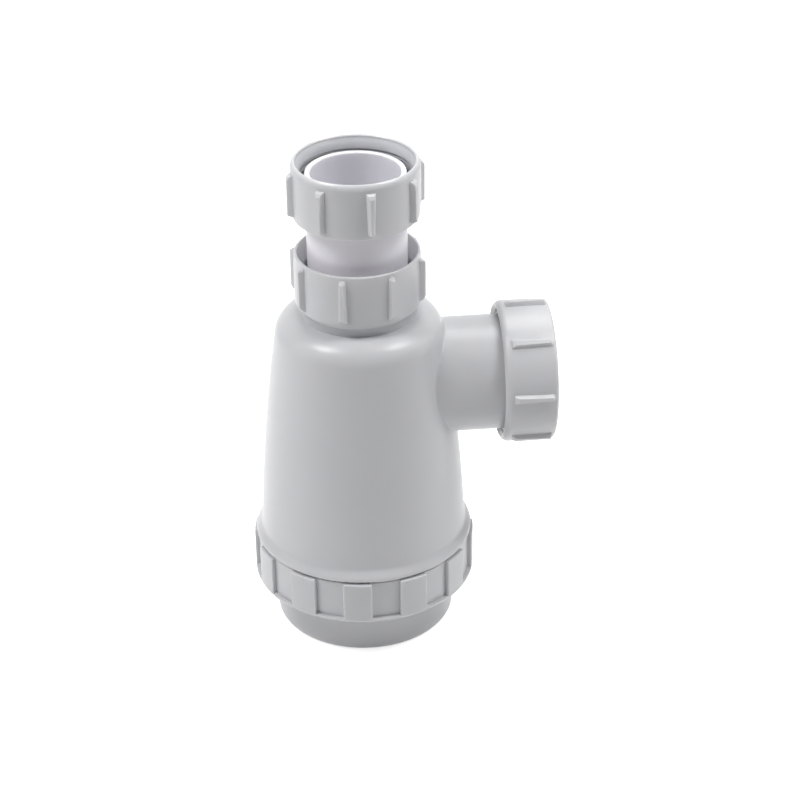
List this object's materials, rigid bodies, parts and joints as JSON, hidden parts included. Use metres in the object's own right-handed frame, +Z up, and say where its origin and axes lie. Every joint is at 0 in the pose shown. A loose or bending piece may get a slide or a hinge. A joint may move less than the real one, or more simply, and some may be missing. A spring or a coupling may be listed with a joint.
{
  "type": "telescopic bottle trap",
  "caption": "Washbasin bottle trap with a side outlet, a telescopic inlet pipe held by ribbed compression nuts, and a screw-off base cup with a lugged grip ring.",
  "frame": {"origin": "middle of the base cup's flat underside, on the axis of the bottle and the inlet", "axes": "+Z up along the inlet pipe, +X out of the side outlet"},
  "size_m": [0.1121, 0.0836, 0.1882],
  "materials": {
    "grey_plastic": "light grey polypropylene, satin as moulded",
    "white_plastic": "white polypropylene pipe, satin",
    "washer_plastic": "natural polythene, slightly waxy",
    "rubber": "black rubber, dull"
  },
  "bodies": {
    "trap": {"trap_body": "grey_plastic", "neck_seal": "rubber", "outlet_seal": "rubber"},
    "inlet_pipe": {"inlet_tube": "white_plastic"},
    "inlet_rings": {"inlet_seal": "rubber", "inlet_slip_washer": "washer_plastic"},
    "inlet_nut": {"inlet_nut": "grey_plastic"},
    "neck_washer": {"neck_slip_washer": "washer_plastic"},
    "neck_nut": {"neck_nut": "grey_plastic"},
    "outlet_washer": {"outlet_slip_washer": "washer_plastic"},
    "outlet_nut": {"outlet_nut": "grey_plastic"},
    "base_seal": {"base_seal": "rubber"},
    "base_cup": {"base_cup": "grey_plastic"}
  },
  "joints": [
    {"name": "inlet_pipe_slide", "type": "slide", "parent": "trap", "child": "inlet_pipe", "axis": [0, 0, 1], "range_m": [-0.003, 0.045]},
    {"name": "inlet_nut_slide", "type": "slide", "parent": "inlet_pipe", "child": "inlet_rings", "axis": [0, 0, 1], "range_m": [-0.003, 0.0015]},
    {"name": "inlet_nut_spin", "type": "hinge", "parent": "inlet_rings", "child": "inlet_nut", "pos_m": [0, 0, 0.1777], "axis": [0, 0, 1], "continuous": true},
    {"name": "neck_nut_turn", "type": "hinge", "parent": "trap", "child": "neck_washer", "pos_m": [0, 0, 0.1443], "axis": [0, 0, 1], "range_deg": [0, 1080]},
    {"name": "neck_nut_rise", "type": "slide", "parent": "neck_washer", "child": "neck_nut", "axis": [0, 0, 1], "range_m": [0, 0.00694]},
    {"name": "outlet_nut_turn", "type": "hinge", "parent": "trap", "child": "outlet_washer", "pos_m": [0.0632, 0, 0.0996], "axis": [1, 0, 0], "range_deg": [0, 1080]},
    {"name": "outlet_nut_draw", "type": "slide", "parent": "outlet_washer", "child": "outlet_nut", "axis": [1, 0, 0], "range_m": [0, 0.00694]},
    {"name": "base_cup_turn", "type": "hinge", "parent": "trap", "child": "base_seal", "pos_m": [0, 0, 0.0227], "axis": [0, 0, -1], "range_deg": [0, 1080]},
    {"name": "base_cup_drop", "type": "slide", "parent": "base_seal", "child": "base_cup", "axis": [0, 0, -1], "range_m": [0, 0.01205]}
  ],
  "couplings": [
    {"joint": "neck_nut_rise", "follows": "neck_nut_turn", "m_per_rad": 0.00036749},
    {"joint": "outlet_nut_draw", "follows": "outlet_nut_turn", "m_per_rad": 0.00036749},
    {"joint": "base_cup_drop", "follows": "base_cup_turn", "m_per_rad": 0.00063662}
  ]
}
